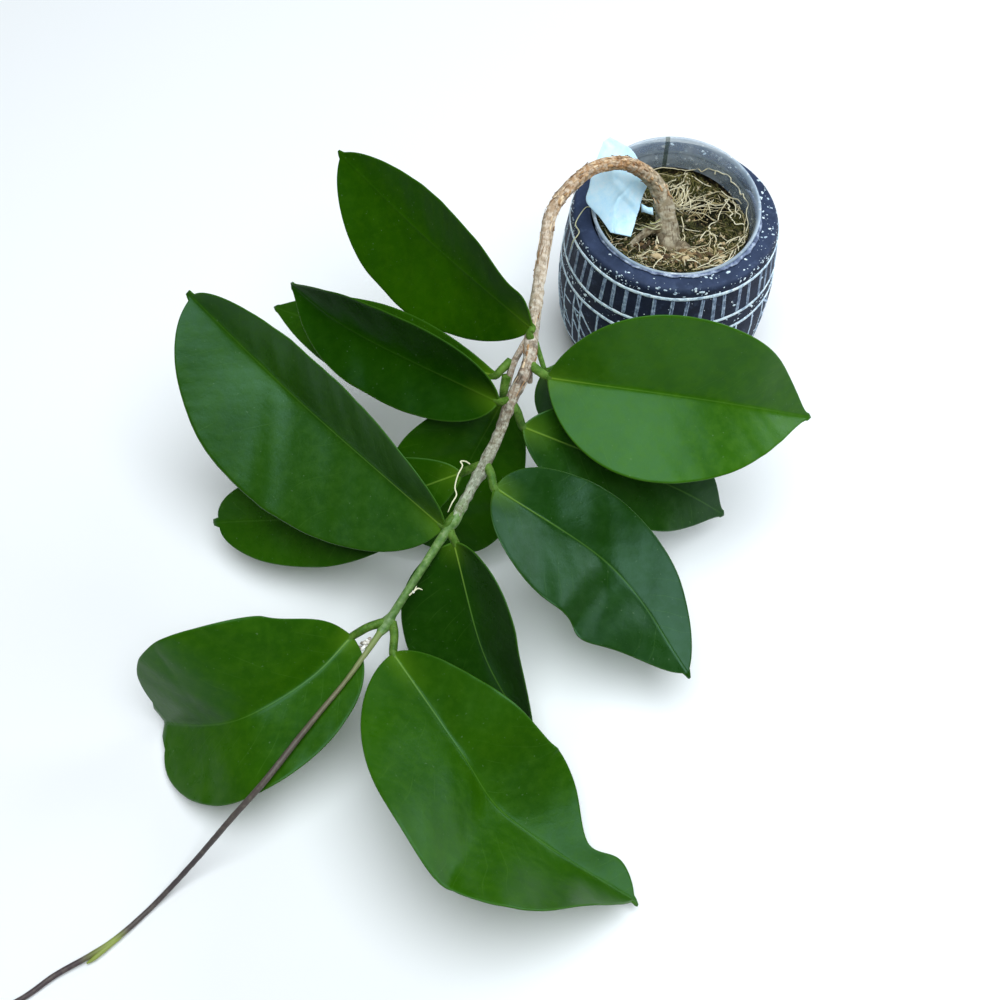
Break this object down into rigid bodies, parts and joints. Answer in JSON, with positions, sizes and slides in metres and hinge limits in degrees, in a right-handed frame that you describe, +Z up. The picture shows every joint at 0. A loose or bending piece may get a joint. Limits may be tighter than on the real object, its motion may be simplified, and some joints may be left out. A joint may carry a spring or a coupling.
{
  "type": "potted hoya plant",
  "caption": "Trailing hoya in a small barrel pot: a woody stem arches over the rim and trails away with thick pointed leaves and a long bare shoot.",
  "frame": {"origin": "centre of the pot's flat base, on the surface it stands on", "axes": "+Z up; the plant trails away towards -Y and -X, and a viewer stands on the -Y side"},
  "size_m": [0.3836, 0.4456, 0.1348],
  "materials": {
    "pot": "matte",
    "clear_liner": "gloss",
    "soil": "matte",
    "roots": "matte",
    "bark": "matte",
    "green_stem": "satin",
    "shoot": "satin",
    "leaf": "gloss",
    "tag": "matte"
  },
  "bodies": {
    "root": {"pot": "pot", "clear_liner": "clear_liner", "soil": "soil", "surface_roots": "roots", "woody_stem": "bark", "young_stem": "green_stem", "leader_shoot": "shoot", "plant_tag": "tag", "leaf_upper_left": "leaf", "leaf_behind_rim_leaf": "leaf", "leaf_spur_outer": "leaf", "leaf_spur_end": "leaf", "leaf_in_front_of_pot": "leaf", "leaf_left_small": "leaf", "leaf_under_front_leaf": "leaf", "leaf_under_big_left": "leaf", "leaf_right_waved": "leaf", "leaf_big_left": "leaf", "leaf_hanging_middle": "leaf", "leaf_tucked_tip": "leaf", "leaf_lowest_right": "leaf"}
  },
  "joints": []
}
